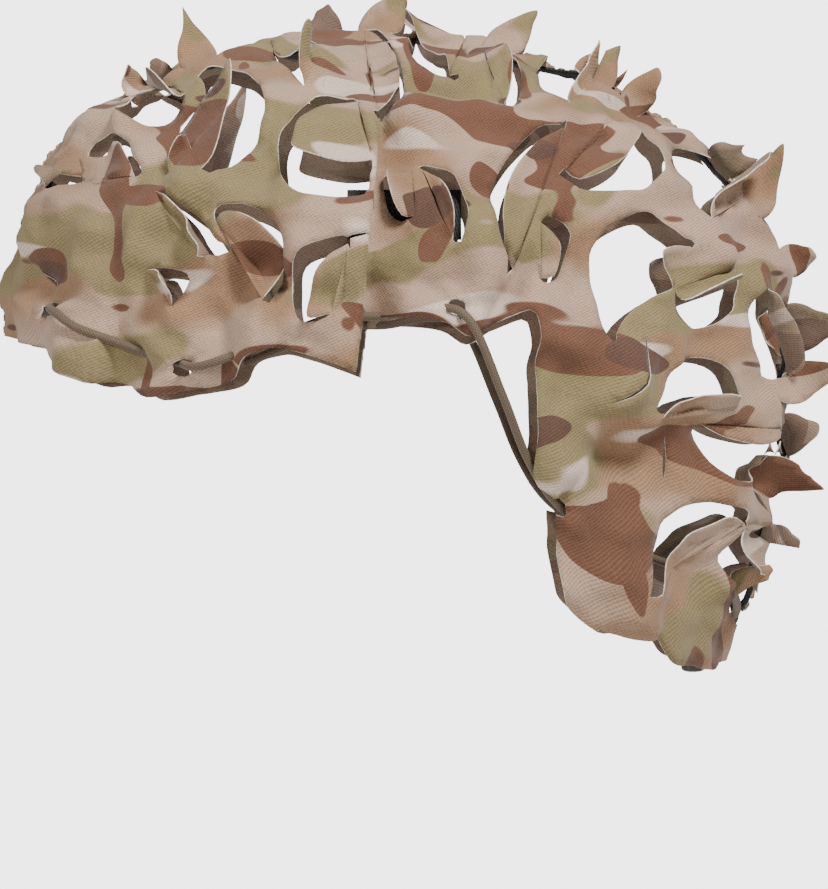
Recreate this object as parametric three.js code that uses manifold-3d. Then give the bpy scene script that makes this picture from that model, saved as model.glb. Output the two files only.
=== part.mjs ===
// Ghillie cover for a high-cut helmet: two leaf-cut cloth panels joined along the crown,
// a nape drape, an elastic drawcord laced through the hem and a sprung cord lock.
// Millimetres, +Z up. The wearer faces -Y and the wearer's left is +X.
// The origin is the middle of the helmet, level with its rim.
import * as THREE from 'three';
import { mergeVertices } from 'three/addons/utils/BufferGeometryUtils.js';
import Module from 'manifold-3d';

const wasm = await Module();
wasm.setup();

// ---- driving dimensions ----
const frontReach = 154;        // origin to the cloth at the brow
const rearReach = 157;         // origin to the cloth at the back of the rim
const halfWidth = 118;         // origin to the cloth over the ear
const crownHeight = 115;       // rim to the cloth on the crown
const taperDepth = 240;        // depth over which the drape would close to a point
const clothThickness = 2;      // one worn layer with its ripples
const clearance = 0.3;         // between pieces that touch
const foldGap = 1.2;           // between the panels and the nape drape that swings
const cordDiameter = 3.4;
const leafClearance = 1.2;     // between a leaf and the rim of its opening
const leafThickness = 1.6;
const tapeWidth = 22;
const tapeThickness = 1.2;
const hookThickness = 1.6;
const hookHeight = 20;
const lockDiameter = 13.5;
const plungerDiameter = 9;
const lockCapThickness = 1.6;
const plungerTravel = 3;
const springHeight = 5.5;
const springWire = 0.9;
const knotDiameter = 8;
const cordTurn = 5;            // from the lock to where the cord ends turn towards the hem

// ---- places that follow from the dimensions ----
const cordRadius = cordDiameter / 2;
const halfCloth = clothThickness / 2;
const cordInside = -(halfCloth + clearance + cordRadius + 0.3);
const cordOutside = -cordInside;
const foldDepth = 50;          // the drape swings about a line this far below the rim
const foldLean = 37;           // degrees between the fold and level, seen from the side
const dropDepth = 110;         // rim to the drawcord at the nape
const lockY = rearReach - 37.5;
const upperCordZ = -dropDepth - 7.2;
const lowerCordZ = upperCordZ - cordDiameter - 0.4;

const radians = THREE.MathUtils.degToRad;

// ---- materials ----
function material(color, roughness, metalness = 0) {
  return new THREE.MeshStandardMaterial({ color, roughness, metalness });
}
const sandCloth = material('#b79d86', 0.9);
const oliveCloth = material('#a3936c', 0.9);
const blackWebbing = material('#1d1b1a', 0.85);
const hookTape = material('#2a2725', 0.95);
const coyoteCord = material('#7a6446', 0.8);
const darkPlastic = material('#2b2624', 0.5);
const springSteel = material('#b9b9b6', 0.35, 0.9);

// ---- the worn surface ----
// A superellipse in plan, with a rounder profile at the back than at the brow.
function surfaceRadius(direction) {
  const { x, y, z } = direction;
  const level = Math.hypot(x, y);
  const backness = level > 0 ? (1 + y / level) / 2 : 0.5;
  const power = 2.6 - 0.6 * backness;
  const reach = y < 0 ? frontReach : rearReach;
  const planPower = 2.3;
  const plan = (Math.abs(x) / halfWidth) ** planPower + (Math.abs(y) / reach) ** planPower;
  const drop = Math.abs(z) / (z > 0 ? crownHeight : taperDepth);
  return (plan ** (power / planPower) + drop ** power) ** (-1 / power);
}

function onSurface(direction, offset = 0) {
  const unit = direction.clone().normalize();
  return unit.multiplyScalar(surfaceRadius(unit) + offset);
}

// around: degrees seen from the wearer's left, 0 at the back, 90 at the crown, 180 at the brow.
// outward: degrees from the middle line of the head, 0 there and 90 over the ear.
function sideDirection(around, outward) {
  const a = radians(around);
  const o = radians(outward);
  return new THREE.Vector3(Math.sin(o), Math.cos(o) * Math.cos(a), Math.cos(o) * Math.sin(a));
}

function surfaceNormal(direction) {
  const step = 0.01;
  const unit = direction.clone().normalize();
  const side = new THREE.Vector3(0, 0, 1).cross(unit).normalize();
  const up = unit.clone().cross(side).normalize();
  const nearby = (axis, reach) => onSurface(unit.clone().addScaledVector(axis, reach));
  const along = nearby(side, step).sub(nearby(side, -step));
  const above = nearby(up, step).sub(nearby(up, -step));
  return along.cross(above).normalize();
}

// A point of the wall at a height, turned around Z: 0 at the brow, 90 over the left ear.
function wallPoint(turn, z, offset) {
  const t = radians(turn);
  let level = halfWidth;
  const heading = new THREE.Vector3(Math.sin(t), -Math.cos(t), 0);
  for (let pass = 0; pass < 12; pass += 1) {
    const direction = heading.clone().multiplyScalar(level).setZ(z);
    level *= onSurface(direction).length() / direction.length();
  }
  return heading.multiplyScalar(level + offset).setZ(z);
}

// ---- solids ----
function toSolid(geometry) {
  const bare = geometry.clone();
  bare.deleteAttribute('normal');
  bare.deleteAttribute('uv');
  const merged = mergeVertices(bare, 1e-4);
  const vertProperties = new Float32Array(merged.attributes.position.array);
  const triVerts = new Uint32Array(merged.index.array);
  return new wasm.Manifold(new wasm.Mesh({ numProp: 3, vertProperties, triVerts }));
}

function toGeometry(solid) {
  const mesh = solid.getMesh();
  const geometry = new THREE.BufferGeometry();
  geometry.setAttribute('position', new THREE.BufferAttribute(new Float32Array(mesh.vertProperties), 3));
  geometry.setIndex(new THREE.BufferAttribute(new Uint32Array(mesh.triVerts), 1));
  geometry.computeVertexNormals();
  return geometry;
}

function placed(geometry, x, y, z) {
  return toSolid(geometry.translate(x, y, z));
}

function mirrored(solid) {
  return solid.mirror([1, 0, 0]);
}

const model = new THREE.Group();

function addPiece(name, solid, look) {
  const mesh = new THREE.Mesh(toGeometry(solid), look);
  mesh.name = name;
  model.add(mesh);
}

// Half of a dome-shaped wall between two offsets from the worn surface.
function halfWall(innerOffset, outerOffset, stepsAround, stepsOut) {
  const positions = [];
  const triangles = [];
  for (const offset of [outerOffset, innerOffset]) {
    for (let j = 0; j < stepsOut; j += 1) {
      for (let i = 0; i < stepsAround; i += 1) {
        const outward = 90 * (j / stepsOut) ** 0.95;
        const point = onSurface(sideDirection((360 * i) / stepsAround, outward), offset);
        positions.push(point.x + (j === 0 ? clearance / 2 : 0), point.y, point.z);
      }
    }
    const pole = onSurface(new THREE.Vector3(1, 0, 0), offset);
    positions.push(pole.x, pole.y, pole.z);
  }
  const layer = stepsAround * stepsOut + 1;
  const vertex = (shell, j, i) => {
    if (j === stepsOut) return shell * layer + layer - 1;
    return shell * layer + j * stepsAround + (i % stepsAround);
  };
  for (let j = 0; j < stepsOut; j += 1) {
    for (let i = 0; i < stepsAround; i += 1) {
      for (const shell of [0, 1]) {
        const a = vertex(shell, j, i);
        const b = vertex(shell, j, i + 1);
        const c = vertex(shell, j + 1, i + 1);
        const d = vertex(shell, j + 1, i);
        const quad = j === stepsOut - 1 ? [[a, b, d]] : [[a, b, c], [a, c, d]];
        for (const [p, q, r] of quad) triangles.push(...(shell === 0 ? [p, q, r] : [p, r, q]));
      }
    }
  }
  for (let i = 0; i < stepsAround; i += 1) {
    const a = vertex(0, 0, i);
    const b = vertex(0, 0, i + 1);
    const c = vertex(1, 0, i + 1);
    const d = vertex(1, 0, i);
    triangles.push(a, d, c, a, c, b);
  }
  const geometry = new THREE.BufferGeometry();
  geometry.setAttribute('position', new THREE.BufferAttribute(new Float32Array(positions), 3));
  geometry.setIndex(triangles);
  return toSolid(geometry);
}

// A slab seen from the side: an outline in Y and Z, extruded across X.
function sideSlab(outline, fromX, toX) {
  const shape = new THREE.Shape(outline.map(([y, z]) => new THREE.Vector2(y, z)));
  const geometry = new THREE.ExtrudeGeometry(shape, { depth: toX - fromX, bevelEnabled: false });
  const toSideView = new THREE.Matrix4().makeBasis(
    new THREE.Vector3(0, 1, 0),
    new THREE.Vector3(0, 0, 1),
    new THREE.Vector3(1, 0, 0),
  );
  return toSolid(geometry.applyMatrix4(toSideView).translate(fromX, 0, 0));
}

function cordSolid(points, diameter, steps) {
  const section = new THREE.Shape();
  for (let i = 0; i < 8; i += 1) {
    const turn = (i * Math.PI) / 4;
    const corner = [(Math.cos(turn) * diameter) / 2, (Math.sin(turn) * diameter) / 2];
    if (i === 0) section.moveTo(...corner);
    else section.lineTo(...corner);
  }
  section.closePath();
  const extrudePath = new THREE.CatmullRomCurve3(points, false, 'centripetal');
  return toSolid(new THREE.ExtrudeGeometry(section, { steps, extrudePath, bevelEnabled: false }));
}

// ---- the fold of the nape drape ----
// The drape is all the cloth behind and below a plane that passes through its hinge line.
const foldY = wallPoint(180, -foldDepth, 0).y;

function behindFold(gap) {
  const reach = 600;
  const box = new THREE.BoxGeometry(reach, reach, reach);
  box.translate(0, 0, -reach / 2 - gap);
  box.rotateX(radians(foldLean));
  return placed(box, 0, foldY, -foldDepth);
}

function drapePart(solid) {
  return solid.intersect(behindFold(foldGap / 2));
}

function crownPart(solid) {
  return solid.subtract(behindFold(-foldGap / 2));
}

// ---- the hem, seen from the wearer's left ----
const hemOutline = [
  [-frontReach - 40, crownHeight + 60],
  [-frontReach - 40, 0],
  [-frontReach, 0],
  [-112, -20],
  [-94, -27],
  [-62, -21],
  [-45, -9],
  [-20, -16],
  [-13, 2],
  [16, 2],
  [28, -4],
  [54, 4],
  [53, -58],
  [62, -70],
  [65, -102],
  [75, -114],
  [98, -117],
  [122, -109],
  [rearReach + 40, -100],
  [rearReach + 40, crownHeight + 60],
];

// ---- leaves ----
// around and outward place the root of a leaf, heading is where it points (0 to the back,
// 90 towards the crown), then its length and the width of its root.
const leaves = [
  { around: 122, outward: 10, heading: 75, length: 31, width: 20 },
  { around: 101, outward: 11, heading: 40, length: 28, width: 24 },
  { around: 80, outward: 11, heading: 120, length: 29, width: 24 },
  { around: 49, outward: 11, heading: 70, length: 33, width: 22 },
  { around: 22, outward: 12, heading: 20, length: 30, width: 22 },
  { around: -3, outward: 11, heading: 35, length: 27, width: 20 },
  { around: -22, outward: 11, heading: -30, length: 26, width: 18 },
  { around: 142, outward: 24, heading: 150, length: 30, width: 22 },
  { around: 112, outward: 30, heading: 30, length: 40, width: 30 },
  { around: 82, outward: 33, heading: 60, length: 36, width: 28 },
  { around: 52, outward: 31, heading: 20, length: 36, width: 28 },
  { around: 24, outward: 35, heading: 90, length: 34, width: 26 },
  { around: -1, outward: 32, heading: 60, length: 32, width: 24 },
  { around: 148, outward: 45, heading: 60, length: 28, width: 20 },
  { around: 104, outward: 56, heading: 110, length: 30, width: 24 },
  { around: 50, outward: 58, heading: 60, length: 30, width: 22 },
  { around: -30, outward: 44, heading: -10, length: 26, width: 20 },
];

function leafFrame(leaf) {
  const direction = sideDirection(leaf.around, leaf.outward);
  const normal = surfaceNormal(direction);
  const point = onSurface(direction);
  const h = radians(leaf.heading);
  const sideView = new THREE.Vector3(0, Math.cos(h), Math.sin(h));
  const along = sideView.addScaledVector(normal, -sideView.dot(normal)).normalize();
  const across = new THREE.Vector3().crossVectors(normal, along);
  return { point, normal, along, across };
}

function leafHalfWidth(leaf, share) {
  return (leaf.width / 2) * Math.sqrt(Math.max(0.02, 1 - share ** 2.4));
}

// The opening that a leaf is cut from, with its axis square to the cloth.
function leafOpening(leaf) {
  const { point, normal, along, across } = leafFrame(leaf);
  const outline = [];
  const steps = 5;
  for (let i = 0; i <= steps; i += 1) {
    const share = i / steps;
    outline.push([share * leaf.length, leafHalfWidth(leaf, share)]);
  }
  const rim = outline.concat(outline.map(([reach, half]) => [reach, -half]).reverse());
  const shape = new THREE.Shape(rim.map(([reach, side]) => new THREE.Vector2(reach, side)));
  const depth = 30;
  const geometry = new THREE.ExtrudeGeometry(shape, { depth, bevelEnabled: false });
  geometry.translate(leafClearance, 0, -depth / 2);
  geometry.applyMatrix4(new THREE.Matrix4().makeBasis(along, across, normal));
  return placed(geometry, point.x, point.y, point.z);
}

// The leaf itself, rooted in the cloth and curling up out of its opening.
function leafBlade(leaf) {
  const { point, normal, along, across } = leafFrame(leaf);
  const steps = 5;
  const rootDepth = 2.4;
  const positions = [];
  let reach = -rootDepth;
  let height = 0;
  for (let i = 0; i <= steps; i += 1) {
    const share = i / steps;
    const tilt = radians(12 + 62 * share);
    const half = leafHalfWidth(leaf, share) - leafClearance;
    const up = new THREE.Vector3().addScaledVector(normal, Math.cos(tilt));
    up.addScaledVector(along, -Math.sin(tilt));
    const middle = point.clone().addScaledVector(along, reach).addScaledVector(normal, height);
    for (const [side, face] of [[-1, -1], [1, -1], [1, 1], [-1, 1]]) {
      const corner = middle.clone().addScaledVector(across, side * half);
      corner.addScaledVector(up, (face * leafThickness) / 2);
      positions.push(corner.x, corner.y, corner.z);
    }
    const stride = (leaf.length - leafClearance) / steps + (i === 0 ? rootDepth : 0);
    reach += stride * Math.cos(tilt);
    height += stride * Math.sin(tilt);
  }
  const triangles = [0, 2, 1, 0, 3, 2];
  const last = steps * 4;
  triangles.push(last, last + 1, last + 2, last, last + 2, last + 3);
  for (let i = 0; i < steps; i += 1) {
    for (let k = 0; k < 4; k += 1) {
      const a = i * 4 + k;
      const b = i * 4 + ((k + 1) % 4);
      triangles.push(a, b, b + 4, a, b + 4, a + 4);
    }
  }
  const geometry = new THREE.BufferGeometry();
  geometry.setAttribute('position', new THREE.BufferAttribute(new Float32Array(positions), 3));
  geometry.setIndex(triangles);
  return toSolid(geometry);
}

// ---- the drawcord route on the wearer's left, from the brow to the nape ----
const hemRoute = [
  [0, 7, cordInside],
  [12, 7, cordInside],
  [24, 8, cordInside],
  [31, 6, cordOutside],
  [37, 0, cordOutside],
  [43, -8, cordInside],
  [50, -14, cordInside],
  [56, -15, cordOutside],
  [61, -12, cordOutside],
  [67, -6, cordInside],
  [78, 3, cordInside],
  [88, 7, cordInside],
  [97, 7, cordInside],
  [103, 2, cordOutside],
  [109, -26, cordOutside],
  [115, -52, cordInside],
  [121, -70, cordInside],
  [131, -84, cordInside],
  [142, -94, cordInside],
  [153, -100, cordInside],
  [164, -104, cordInside],
];

function hemPoints() {
  return hemRoute.map(([turn, z, offset]) => wallPoint(turn, z, offset));
}

// From the hem the two ends turn forwards and pass one above the other through the lock.
function endPoints(cordZ, sideX) {
  const hem = hemPoints();
  const turnY = lockY + lockDiameter / 2 + cordTurn;
  return [
    hem[hem.length - 3],
    hem[hem.length - 2],
    hem[hem.length - 1],
    new THREE.Vector3(sideX, turnY + 5.5, (cordZ - dropDepth) / 2 + 2),
    new THREE.Vector3(sideX / 4, turnY + 1, cordZ + 0.6),
  ];
}

const tailEndY = lockY - lockDiameter / 2 - 12;

// The hem loop runs from nape to nape round the brow; the fold cuts it where the drape takes over.
function wholeLoop() {
  const left = hemPoints();
  const right = left.slice(1).reverse().map((point) => point.clone().setX(-point.x));
  return right.concat(left);
}

function cordEnd(cordZ, side) {
  const points = endPoints(cordZ, 9);
  points.push(new THREE.Vector3(0, lockY + lockDiameter / 2 + cordTurn / 2, cordZ));
  points.push(new THREE.Vector3(0, lockY, cordZ));
  points.push(new THREE.Vector3(0, tailEndY, cordZ));
  for (const point of points) point.setX(point.x * side);
  return points;
}

const loopPath = wholeLoop();
const leftEndPath = cordEnd(upperCordZ, 1);
const rightEndPath = cordEnd(lowerCordZ, -1);
const loopCord = cordSolid(loopPath, cordDiameter, 78);
const passageDiameter = cordDiameter + 2 * clearance;
const passage = cordSolid(loopPath, passageDiameter, 78)
  .add(cordSolid(leftEndPath, passageDiameter, 22))
  .add(mirrored(cordSolid(rightEndPath, passageDiameter, 22)));

// ---- cloth panels ----
const panelSlab = sideSlab(hemOutline, -1, halfWidth * 2);
const wholeCloth = halfWall(-halfCloth, halfCloth, 44, 11).intersect(panelSlab);

function rootedBehindFold(leaf) {
  const { point } = leafFrame(leaf);
  const fall = (point.y - foldY) * Math.sin(radians(foldLean));
  return fall - (point.z + foldDepth) * Math.cos(radians(foldLean)) > 0;
}

function clothPanel(cloth, isDrape) {
  let panel = cloth;
  for (const leaf of leaves) panel = panel.subtract(leafOpening(leaf));
  for (const leaf of leaves) {
    if (rootedBehindFold(leaf) === isDrape) panel = panel.add(leafBlade(leaf));
  }
  return panel.subtract(passage).simplify(0.02);
}

const leftCrown = clothPanel(crownPart(wholeCloth), false);
const leftDrape = clothPanel(drapePart(wholeCloth), true);
addPiece('left_crown_panel', leftCrown, sandCloth);
addPiece('right_crown_panel', mirrored(leftCrown), sandCloth);
addPiece('left_nape_drape', leftDrape, oliveCloth);
addPiece('right_nape_drape', mirrored(leftDrape), oliveCloth);

// ---- webbing tape behind the join, from the brow to the fold and from the fold to the nape ----
function tape(lowBrow, lowNape) {
  const outer = -halfCloth - clearance;
  const half = halfWall(outer - tapeThickness, outer, 44, 11);
  const strip = [
    [-frontReach - 20, lowBrow],
    [0, lowBrow],
    [0, lowNape],
    [rearReach + 20, lowNape],
    [rearReach + 20, crownHeight + 20],
    [-frontReach - 20, crownHeight + 20],
  ];
  const slab = sideSlab(strip, -1, tapeWidth / 2);
  const leftHalf = half.intersect(slab).translate([-clearance / 2 - 0.01, 0, 0]);
  return leftHalf.add(mirrored(leftHalf));
}
const tapeAboveCord = 8 + cordRadius + 4;
const tapeRun = tape(tapeAboveCord, -dropDepth + 16);
addPiece('crown_tape', crownPart(tapeRun).simplify(0.02), blackWebbing);
addPiece('nape_tape', drapePart(tapeRun).simplify(0.02), blackWebbing);

// ---- hook patches that grip the loop fields of the helmet ----
function hookPatch(turn, z, width, behindTape) {
  const middle = wallPoint(turn, z, 0);
  const normal = surfaceNormal(middle);
  const across = new THREE.Vector3(0, 0, 1).cross(normal).normalize();
  const up = new THREE.Vector3().crossVectors(normal, across);
  const backing = behindTape ? tapeThickness + clearance : 0;
  const limit = halfCloth + backing + clearance;
  let depth = limit;
  const clashes = () => [[-1, -1], [1, -1], [1, 1], [-1, 1]].some(([a, b]) => {
    const corner = middle.clone().addScaledVector(normal, -depth);
    corner.addScaledVector(across, (a * width) / 2).addScaledVector(up, (b * hookHeight) / 2);
    return corner.length() > surfaceRadius(corner.clone().normalize()) - limit;
  });
  while (clashes()) depth += 0.1;
  const geometry = new THREE.BoxGeometry(width, hookHeight, hookThickness);
  geometry.applyMatrix4(new THREE.Matrix4().makeBasis(across, up, normal));
  const seat = middle.addScaledVector(normal, -depth - hookThickness / 2);
  return placed(geometry, seat.x, seat.y, seat.z);
}
const sideHook = hookPatch(92, 44, 44, false);
addPiece('brow_hook_patch', hookPatch(0, 52, 50, true), hookTape);
addPiece('left_hook_patch', sideHook, hookTape);
addPiece('right_hook_patch', mirrored(sideHook), hookTape);
addPiece('rear_hook_patch', hookPatch(180, 40, 44, true), hookTape);

// ---- drawcord ----
const leftEnd = cordSolid(leftEndPath, cordDiameter, 22);
const rightEnd = cordSolid(rightEndPath, cordDiameter, 22);
addPiece('hem_drawcord', crownPart(loopCord), coyoteCord);
addPiece('left_cord_end', drapePart(leftEnd), coyoteCord);
addPiece('right_cord_end', drapePart(rightEnd), coyoteCord);

const cordsMiddleZ = (upperCordZ + lowerCordZ) / 2;
const knot = new THREE.SphereGeometry(knotDiameter / 2, 14, 10);
knot.rotateX(Math.PI / 2);
knot.scale(1, 0.9, 1.15);
addPiece('end_knot', placed(knot, 0, tailEndY - knotDiameter * 0.45 - clearance, cordsMiddleZ), coyoteCord);

// ---- cord lock: a barrel with a plunger that a spring pushes out and down ----
const slotTop = upperCordZ + cordRadius + clearance;
const slotBottom = lowerCordZ - cordRadius - clearance;
const plungerTop = slotTop + 1.6;
const springBottom = plungerTop + clearance;
const lockTop = springBottom + springHeight + clearance + lockCapThickness;
const lockBottom = slotBottom - 7;
const plungerBottom = lockBottom - plungerTravel - 3.2;
const slotWidth = cordDiameter + 2 * clearance;

function rod(diameter, bottom, top, sides = 28) {
  const geometry = new THREE.CylinderGeometry(diameter / 2, diameter / 2, top - bottom, sides);
  geometry.rotateX(Math.PI / 2);
  return placed(geometry, 0, lockY, (bottom + top) / 2);
}

function cordSlot(bottom, top) {
  const geometry = new THREE.BoxGeometry(slotWidth, lockDiameter * 2, top - bottom);
  return placed(geometry, 0, lockY, (bottom + top) / 2);
}

const boreDiameter = plungerDiameter + 2 * clearance;
let barrel = rod(lockDiameter, lockBottom, lockTop);
barrel = barrel.subtract(rod(boreDiameter, lockBottom - 1, lockTop - lockCapThickness));
barrel = barrel.subtract(cordSlot(slotBottom, slotTop));
addPiece('cord_lock_barrel', barrel, darkPlastic);

let plunger = rod(plungerDiameter, plungerBottom, plungerTop);
plunger = plunger.subtract(cordSlot(slotBottom - plungerTravel, slotTop));
addPiece('cord_lock_plunger', plunger, darkPlastic);

function springSolid() {
  const radius = plungerDiameter / 2 - 1.6;
  const turns = 3;
  const rise = springHeight - springWire;
  const points = [];
  for (let i = 0; i <= turns * 12; i += 1) {
    const turn = (i * Math.PI) / 6;
    const z = springBottom + springWire / 2 + (rise * i) / (turns * 12);
    points.push(new THREE.Vector3(Math.cos(turn) * radius, lockY + Math.sin(turn) * radius, z));
  }
  return cordSolid(points, springWire, turns * 14);
}
addPiece('cord_lock_spring', springSolid(), springSteel);

export default model;
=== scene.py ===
# Leaf-cut ghillie cover for a high-cut helmet: two cloth halves, the middle tape, hook patches,
# the elastic drawcord laced through the hem, and its sprung lock.
import math
import random
import bpy
import numpy as np
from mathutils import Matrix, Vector, kdtree, noise
from mathutils.geometry import delaunay_2d_cdt


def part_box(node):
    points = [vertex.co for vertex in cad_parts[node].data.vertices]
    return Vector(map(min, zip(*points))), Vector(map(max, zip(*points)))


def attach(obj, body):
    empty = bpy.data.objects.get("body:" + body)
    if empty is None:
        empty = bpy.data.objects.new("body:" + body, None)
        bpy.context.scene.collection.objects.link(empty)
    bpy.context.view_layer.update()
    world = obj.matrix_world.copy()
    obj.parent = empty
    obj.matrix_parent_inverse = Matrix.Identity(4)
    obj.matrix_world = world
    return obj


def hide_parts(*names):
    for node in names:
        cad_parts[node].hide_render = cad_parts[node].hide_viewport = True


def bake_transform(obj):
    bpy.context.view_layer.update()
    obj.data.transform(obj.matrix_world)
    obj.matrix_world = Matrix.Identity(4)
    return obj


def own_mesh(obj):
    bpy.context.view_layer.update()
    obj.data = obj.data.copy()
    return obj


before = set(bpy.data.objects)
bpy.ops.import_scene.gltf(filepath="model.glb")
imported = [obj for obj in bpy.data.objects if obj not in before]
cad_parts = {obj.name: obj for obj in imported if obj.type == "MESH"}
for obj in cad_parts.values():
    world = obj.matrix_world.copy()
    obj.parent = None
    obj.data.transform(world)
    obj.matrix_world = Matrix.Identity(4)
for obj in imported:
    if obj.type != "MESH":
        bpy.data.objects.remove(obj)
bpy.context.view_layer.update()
mm = 0.001
tau = 2 * math.pi

# sizes read from the frame's own pieces
tapeLow, tapeHigh = (Vector(c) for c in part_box("crown_tape"))
panelLow, panelHigh = (Vector(c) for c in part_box("left_crown_panel"))
lockLow, lockHigh = (Vector(c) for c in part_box("cord_lock_barrel"))
plungerLow, plungerHigh = (Vector(c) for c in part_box("cord_lock_plunger"))
springLow, springHigh = (Vector(c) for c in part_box("cord_lock_spring"))
knotLow, knotHigh = (Vector(c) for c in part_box("end_knot"))

dome = {"tapeBehindCloth": 1.3 * mm, "taperDepth": 240 * mm, "flatRadius": 130 * mm,
        "planPower": 2.3, "frontPower": 2.6, "powerLostToBack": 0.6}
frontReach = -tapeLow.y + dome["tapeBehindCloth"] + 0.5 * mm
rearReach = frontReach + 3 * mm
halfWidth = panelHigh.x - 1 * mm
crownHeight = tapeHigh.z + dome["tapeBehindCloth"]
taperDepth = dome["taperDepth"]


view = {"sensor": 36, "lens": 303, "place": (3.0, 0.0076, -0.0458)}


def makeCamera():
    # level, on the wearer's left
    data = bpy.data.cameras.new("camera")
    data.sensor_width = view["sensor"]
    data.lens = view["lens"]
    data.clip_end = 20
    camera = bpy.data.objects.new("camera", data)
    bpy.context.scene.collection.objects.link(camera)
    camera.location = view["place"]
    camera.rotation_euler = (math.radians(90), 0, math.radians(90))
    bpy.context.scene.camera = camera


makeCamera()
print("camera")


def surfaceRadius(d):
    # the helmet's superellipse: distance from the origin along each direction
    x, y, z = d[..., 0], d[..., 1], d[..., 2]
    level = np.hypot(x, y)
    backness = np.where(level > 1e-9, (1 + y / np.maximum(level, 1e-9)) / 2, 0.5)
    power = dome["frontPower"] - dome["powerLostToBack"] * backness
    planPower = dome["planPower"]
    reach = np.where(y < 0, frontReach, rearReach)
    plan = (np.abs(x) / halfWidth) ** planPower + (np.abs(y) / reach) ** planPower
    drop = np.abs(z) / np.where(z > 0, crownHeight, taperDepth)
    return (plan ** (power / planPower) + drop ** power) ** (-1 / power)


# The flat cut of one half: straight-line distance from the ear is arc length on the head.
flatRadius = dome["flatRadius"]
rimRadius = flatRadius * math.pi / 2


def flatToDirection(flat):
    reach = np.hypot(flat[..., 0], flat[..., 1])
    angle = reach / flatRadius
    safe = np.maximum(reach, 1e-9)
    ring = np.sin(angle)
    return np.stack([np.cos(angle), ring * flat[..., 0] / safe, ring * flat[..., 1] / safe], -1)


def onSurface(flat):
    d = flatToDirection(np.asarray(flat, float))
    return d * surfaceRadius(d)[..., None]


def directionToFlat(d):
    angle = np.arccos(np.clip(d[..., 0] / np.linalg.norm(d, axis=-1), -1, 1))
    ring = np.maximum(np.hypot(d[..., 1], d[..., 2]), 1e-9)
    return np.stack([d[..., 1] / ring, d[..., 2] / ring], -1) * (flatRadius * angle)[..., None]


def reachOut(start, heading, far):
    # how far each start point can go along its heading before it meets the surface
    low, high = np.zeros(len(start)), np.full(len(start), far)
    for _ in range(40):
        middle = (low + high) / 2
        p = start + heading * middle[:, None]
        length = np.linalg.norm(p, axis=1)
        inside = length < surfaceRadius(p / length[:, None])
        low, high = np.where(inside, middle, low), np.where(inside, high, middle)
    return start + heading * low[:, None]


def fromSide(points):
    # side-view points, Y and Z in millimetres, as places on the flat cut
    yz = np.asarray(points, float).reshape(-1, 2) * mm
    start = np.column_stack([np.full(len(yz), 1e-6), yz])
    return directionToFlat(reachOut(start, np.array([[1.0, 0, 0]]), 1.2 * halfWidth))


def fromCrown(around, outward):
    # a place by angle: around from the back over the crown, outward from the middle line
    reach = flatRadius * math.radians(90 - outward)
    turn = math.radians(around)
    return np.array([reach * math.cos(turn), reach * math.sin(turn)])


def smooth(a, b, x):
    t = np.clip((x - a) / (b - a), 0, 1)
    return t * t * (3 - 2 * t)


cordHoles = [(-131.5, 6.5), (-80, -16), (23.5, 7), (62, -69.5)]

# How the cloth stands off the smooth dome: pleats with a valley behind them, hem waves, puckers
# round the cord holes and small creases. Places and heights are in millimetres.
pleats = [
    {"edge": -17, "lean": 0.1, "rise": 44, "drop": 4, "height": 16, "depth": 5,
     "low": -20, "high": 116, "over": 6},
    {"edge": -113, "lean": 0.06, "rise": 26, "drop": 4, "height": 9, "depth": 3,
     "low": -30, "high": 22, "over": 5},
    {"edge": -50, "lean": -0.2, "rise": 24, "drop": 7, "height": 8, "depth": 4,
     "low": -30, "high": 44, "over": 3},
    {"edge": 30, "lean": 0.5, "rise": 16, "drop": 9, "height": 6, "depth": 4,
     "low": -6, "high": 48},
    {"edge": 92, "lean": -0.7, "rise": 26, "drop": 12, "height": 5, "depth": 3,
     "low": -118, "high": -30},
]
folds = [
    {"from": (-130, 8), "to": (-70, 66), "width": 9, "height": 4.8},
    {"from": (-118, 0), "to": (-100, 52), "width": 7, "height": -4.2},
    {"from": (-82, -12), "to": (-46, 26), "width": 6, "height": -5.1},
    {"from": (-84, -8), "to": (-92, 40), "width": 7, "height": 4.2},
    {"from": (24, 10), "to": (8, 62), "width": 8, "height": -5.4},
    {"from": (24, 10), "to": (50, 62), "width": 8, "height": 4.8},
    {"from": (24, 8), "to": (86, 22), "width": 8, "height": -4.5},
    {"from": (62, -62), "to": (96, 0), "width": 9, "height": 5.1},
    {"from": (62, -66), "to": (120, -40), "width": 8, "height": -4.2},
    {"from": (64, -76), "to": (92, -112), "width": 8, "height": 4.2},
    {"from": (0, 84), "to": (52, 80), "width": 7, "height": 7.4},
    {"from": (4, 96), "to": (56, 90), "width": 6, "height": -5.4},
    {"from": (-60, 100), "to": (-12, 104), "width": 7, "height": 4.8},
    {"from": (112, 60), "to": (136, 6), "width": 7, "height": 3.8},
]


# Millimetres again. Each fade is where an effect starts and where it is full, and each noise is
# its height and its scale.
rumple = {
    "middleFade": (4, 34), "standOff": 1.2, "most": 17,
    "pucker": 1.3, "puckerFolds": 5, "puckerReach": 9, "puckerWidth": 11,
    "hemWave": 2.4, "hemPitch": (11, 60), "hemFade": (-20, 50), "hemEnd": 40,
    "rearWave": 1.8, "rearPitch": (13, 31), "rearFade": (40, 80),
    "noise": (7, 38), "fineNoise": (3.2, 95), "ridge": (8, 30), "ridgeLevel": 0.3,
}
sidePatch = {"y": 4, "z": 42, "yFade": (26, 16), "zFade": (24, 15), "floor": 0.4}


def noiseAt(p, scale, shift):
    return np.array([noise.noise(Vector(v) * scale + shift) for v in p])


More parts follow.
